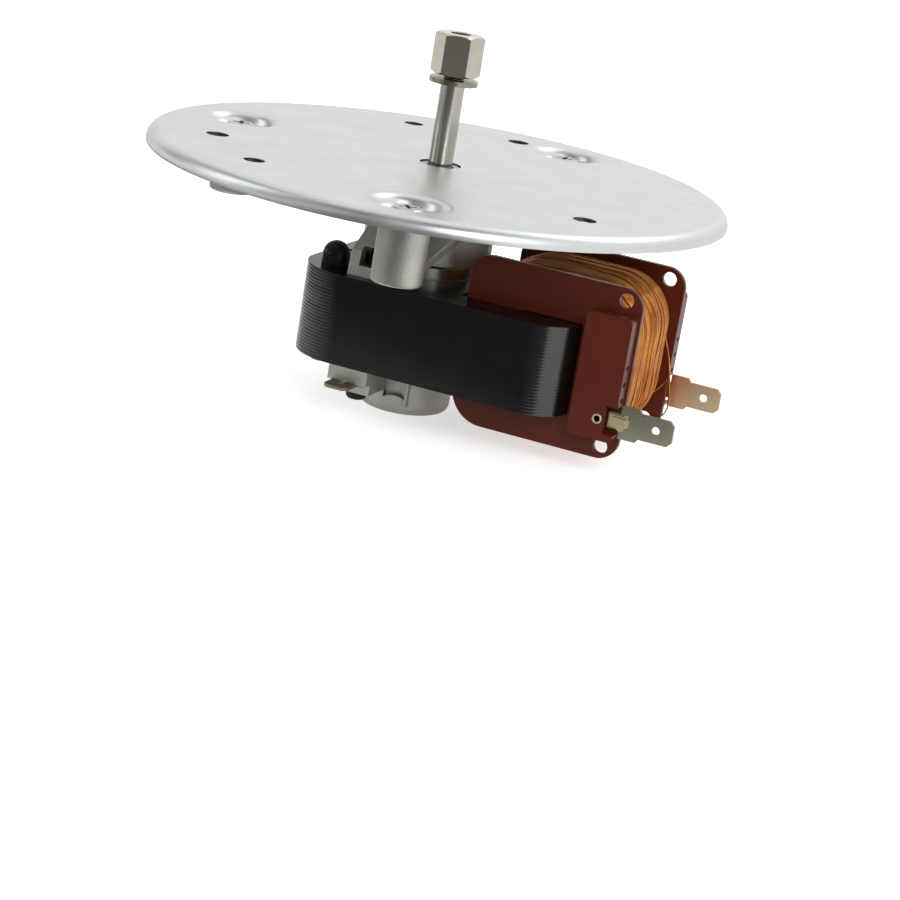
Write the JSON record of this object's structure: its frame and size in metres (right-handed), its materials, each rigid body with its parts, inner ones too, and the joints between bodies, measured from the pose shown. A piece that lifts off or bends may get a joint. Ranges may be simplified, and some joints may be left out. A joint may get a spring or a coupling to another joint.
{
  "type": "oven fan motor",
  "caption": "Shaded-pole oven fan motor on a round pressed mounting plate, with a threaded shaft, a brown bobbin and blade terminals.",
  "frame": {"origin": "shaft axis at the top face of the round mounting plate", "axes": "+Z along the shaft towards its threaded end, +X from the shaft towards the coil and its terminals"},
  "size_m": [0.1478, 0.144, 0.0941],
  "materials": {
    "plate_steel": "satin",
    "zinc_steel": "satin",
    "cast_aluminium": "satin",
    "black_lacquer": "gloss",
    "bobbin_resin": "gloss",
    "enamelled_copper": "gloss",
    "tinned_brass": "satin",
    "warm_brass": "satin",
    "aged_brass": "satin",
    "bare_copper": "satin",
    "bare_lamination": "satin",
    "cage_aluminium": "satin",
    "ground_steel": "gloss",
    "sintered_bronze": "matte",
    "oiled_felt": "matte",
    "spring_steel": "satin",
    "fibre_washer": "matte",
    "black_steel": "gloss",
    "washer_steel": "satin",
    "nickel_steel": "gloss"
  },
  "bodies": {
    "frame": {"mounting_plate": "plate_steel", "plate_screws": "zinc_steel", "upper_bracket": "cast_aluminium", "lower_bracket": "cast_aluminium", "stator_stack": "black_lacquer", "coil_core": "black_lacquer", "bobbin": "bobbin_resin", "coil_winding": "enamelled_copper", "coil_leads": "enamelled_copper", "terminal_front": "tinned_brass", "terminal_rear": "warm_brass", "earth_terminal": "aged_brass", "shading_rings": "bare_copper", "upper_bearing": "sintered_bronze", "lower_bearing": "sintered_bronze", "upper_felt": "oiled_felt", "lower_felt": "oiled_felt", "upper_cap": "spring_steel", "lower_cap": "spring_steel", "bracket_bolts": "black_steel", "bracket_nuts": "black_steel", "stack_rivets": "black_steel"},
    "rotor": {"rotor_core": "bare_lamination", "rotor_cage": "cage_aluminium", "shaft": "ground_steel", "upper_thrust_washer": "fibre_washer", "lower_thrust_washer": "fibre_washer", "shaft_washer": "washer_steel", "shaft_nut": "nickel_steel"}
  },
  "joints": [
    {"name": "rotor_spin", "type": "hinge", "parent": "frame", "child": "rotor", "pos_m": [0, 0, 0], "axis": [0, 0, 1], "continuous": true}
  ]
}
